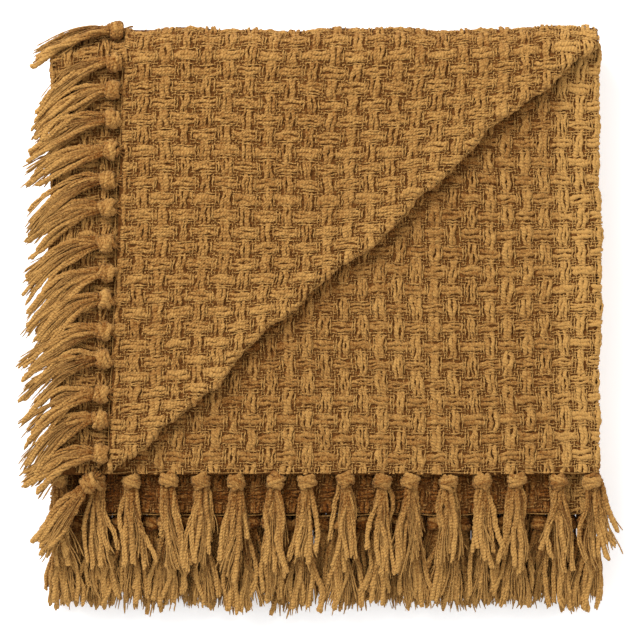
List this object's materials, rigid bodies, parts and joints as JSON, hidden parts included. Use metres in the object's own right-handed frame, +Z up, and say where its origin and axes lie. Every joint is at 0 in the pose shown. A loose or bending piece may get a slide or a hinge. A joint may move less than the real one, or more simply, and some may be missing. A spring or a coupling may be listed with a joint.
{
  "type": "folded throw blanket",
  "caption": "Chunky woven throw blanket with knotted tassel fringe, folded into a square stack, its top corner turned back over a diagonal crease.",
  "frame": {"origin": "middle of the underside of the folded stack, on the surface it lies on", "axes": "+Z up through the layers, +Y towards the folded back edge, -Y towards the fringed front, +X towards the side where the crease reaches the back edge"},
  "size_m": [0.4627, 0.46, 0.0666],
  "materials": {
    "woven_yarn": "soft slubby weave",
    "fringe_yarn": "soft brushed yarn"
  },
  "bodies": {
    "stack": {"back_bend_inner_first_layer": "woven_yarn", "back_bend_inner_last_layer": "woven_yarn", "back_bend_inner_middle_layer": "woven_yarn", "back_bend_outer_middle_layer": "woven_yarn", "back_bend_outer_top_layer": "woven_yarn", "back_bend_outer_under_layer": "woven_yarn", "back_left_corner_inner": "woven_yarn", "back_left_corner_outer": "woven_yarn", "back_right_corner_inner": "woven_yarn", "back_right_corner_outer": "woven_yarn", "front_bend_inner_layer": "woven_yarn", "front_bend_middle_layer": "woven_yarn", "front_bend_outer_layer": "woven_yarn", "front_left_corner": "woven_yarn", "front_right_corner": "woven_yarn", "quarter1_edge_threads": "fringe_yarn", "quarter1_left_fold": "woven_yarn", "quarter1_middle_fringe_knots": "fringe_yarn", "quarter1_middle_fringe_tassels": "fringe_yarn", "quarter1_middle_panel": "woven_yarn", "quarter1_right_fold": "woven_yarn", "quarter1_top_fringe_knots": "fringe_yarn", "quarter1_top_fringe_tassels": "fringe_yarn", "quarter1_top_panel": "woven_yarn", "quarter1_under_fringe_knots": "fringe_yarn", "quarter1_under_fringe_tassels": "fringe_yarn", "quarter1_under_panel": "woven_yarn", "quarter2_base_panel": "woven_yarn", "quarter2_left_fold": "woven_yarn", "quarter2_middle_panel": "woven_yarn", "quarter2_right_fold": "woven_yarn", "quarter2_top_panel": "woven_yarn", "quarter3_left_fold": "woven_yarn", "quarter3_middle_panel": "woven_yarn", "quarter3_right_fold": "woven_yarn", "quarter3_top_panel": "woven_yarn", "quarter3_under_panel": "woven_yarn", "quarter4_edge_threads": "fringe_yarn", "quarter4_left_fold": "woven_yarn", "quarter4_middle_fringe_knots": "fringe_yarn", "quarter4_middle_fringe_tassels": "fringe_yarn", "quarter4_middle_panel": "woven_yarn", "quarter4_right_fold": "woven_yarn", "quarter4_top_fringe_knots": "fringe_yarn", "quarter4_top_fringe_tassels": "fringe_yarn", "quarter4_top_panel": "woven_yarn", "quarter4_under_fringe_knots": "fringe_yarn", "quarter4_under_fringe_tassels": "fringe_yarn", "quarter4_under_panel": "woven_yarn"},
    "corner": {"corner_back_lip": "woven_yarn", "corner_crease": "woven_yarn", "corner_edge_thread": "woven_yarn", "corner_knots": "fringe_yarn", "corner_panel": "woven_yarn", "corner_tassels": "fringe_yarn"}
  },
  "joints": [
    {"name": "corner_turn", "type": "hinge", "parent": "stack", "child": "corner", "pos_m": [0.02065, -0.00075, 0.0595], "axis": [0.7451, 0.6669, 0], "range_deg": [0, 180]}
  ]
}
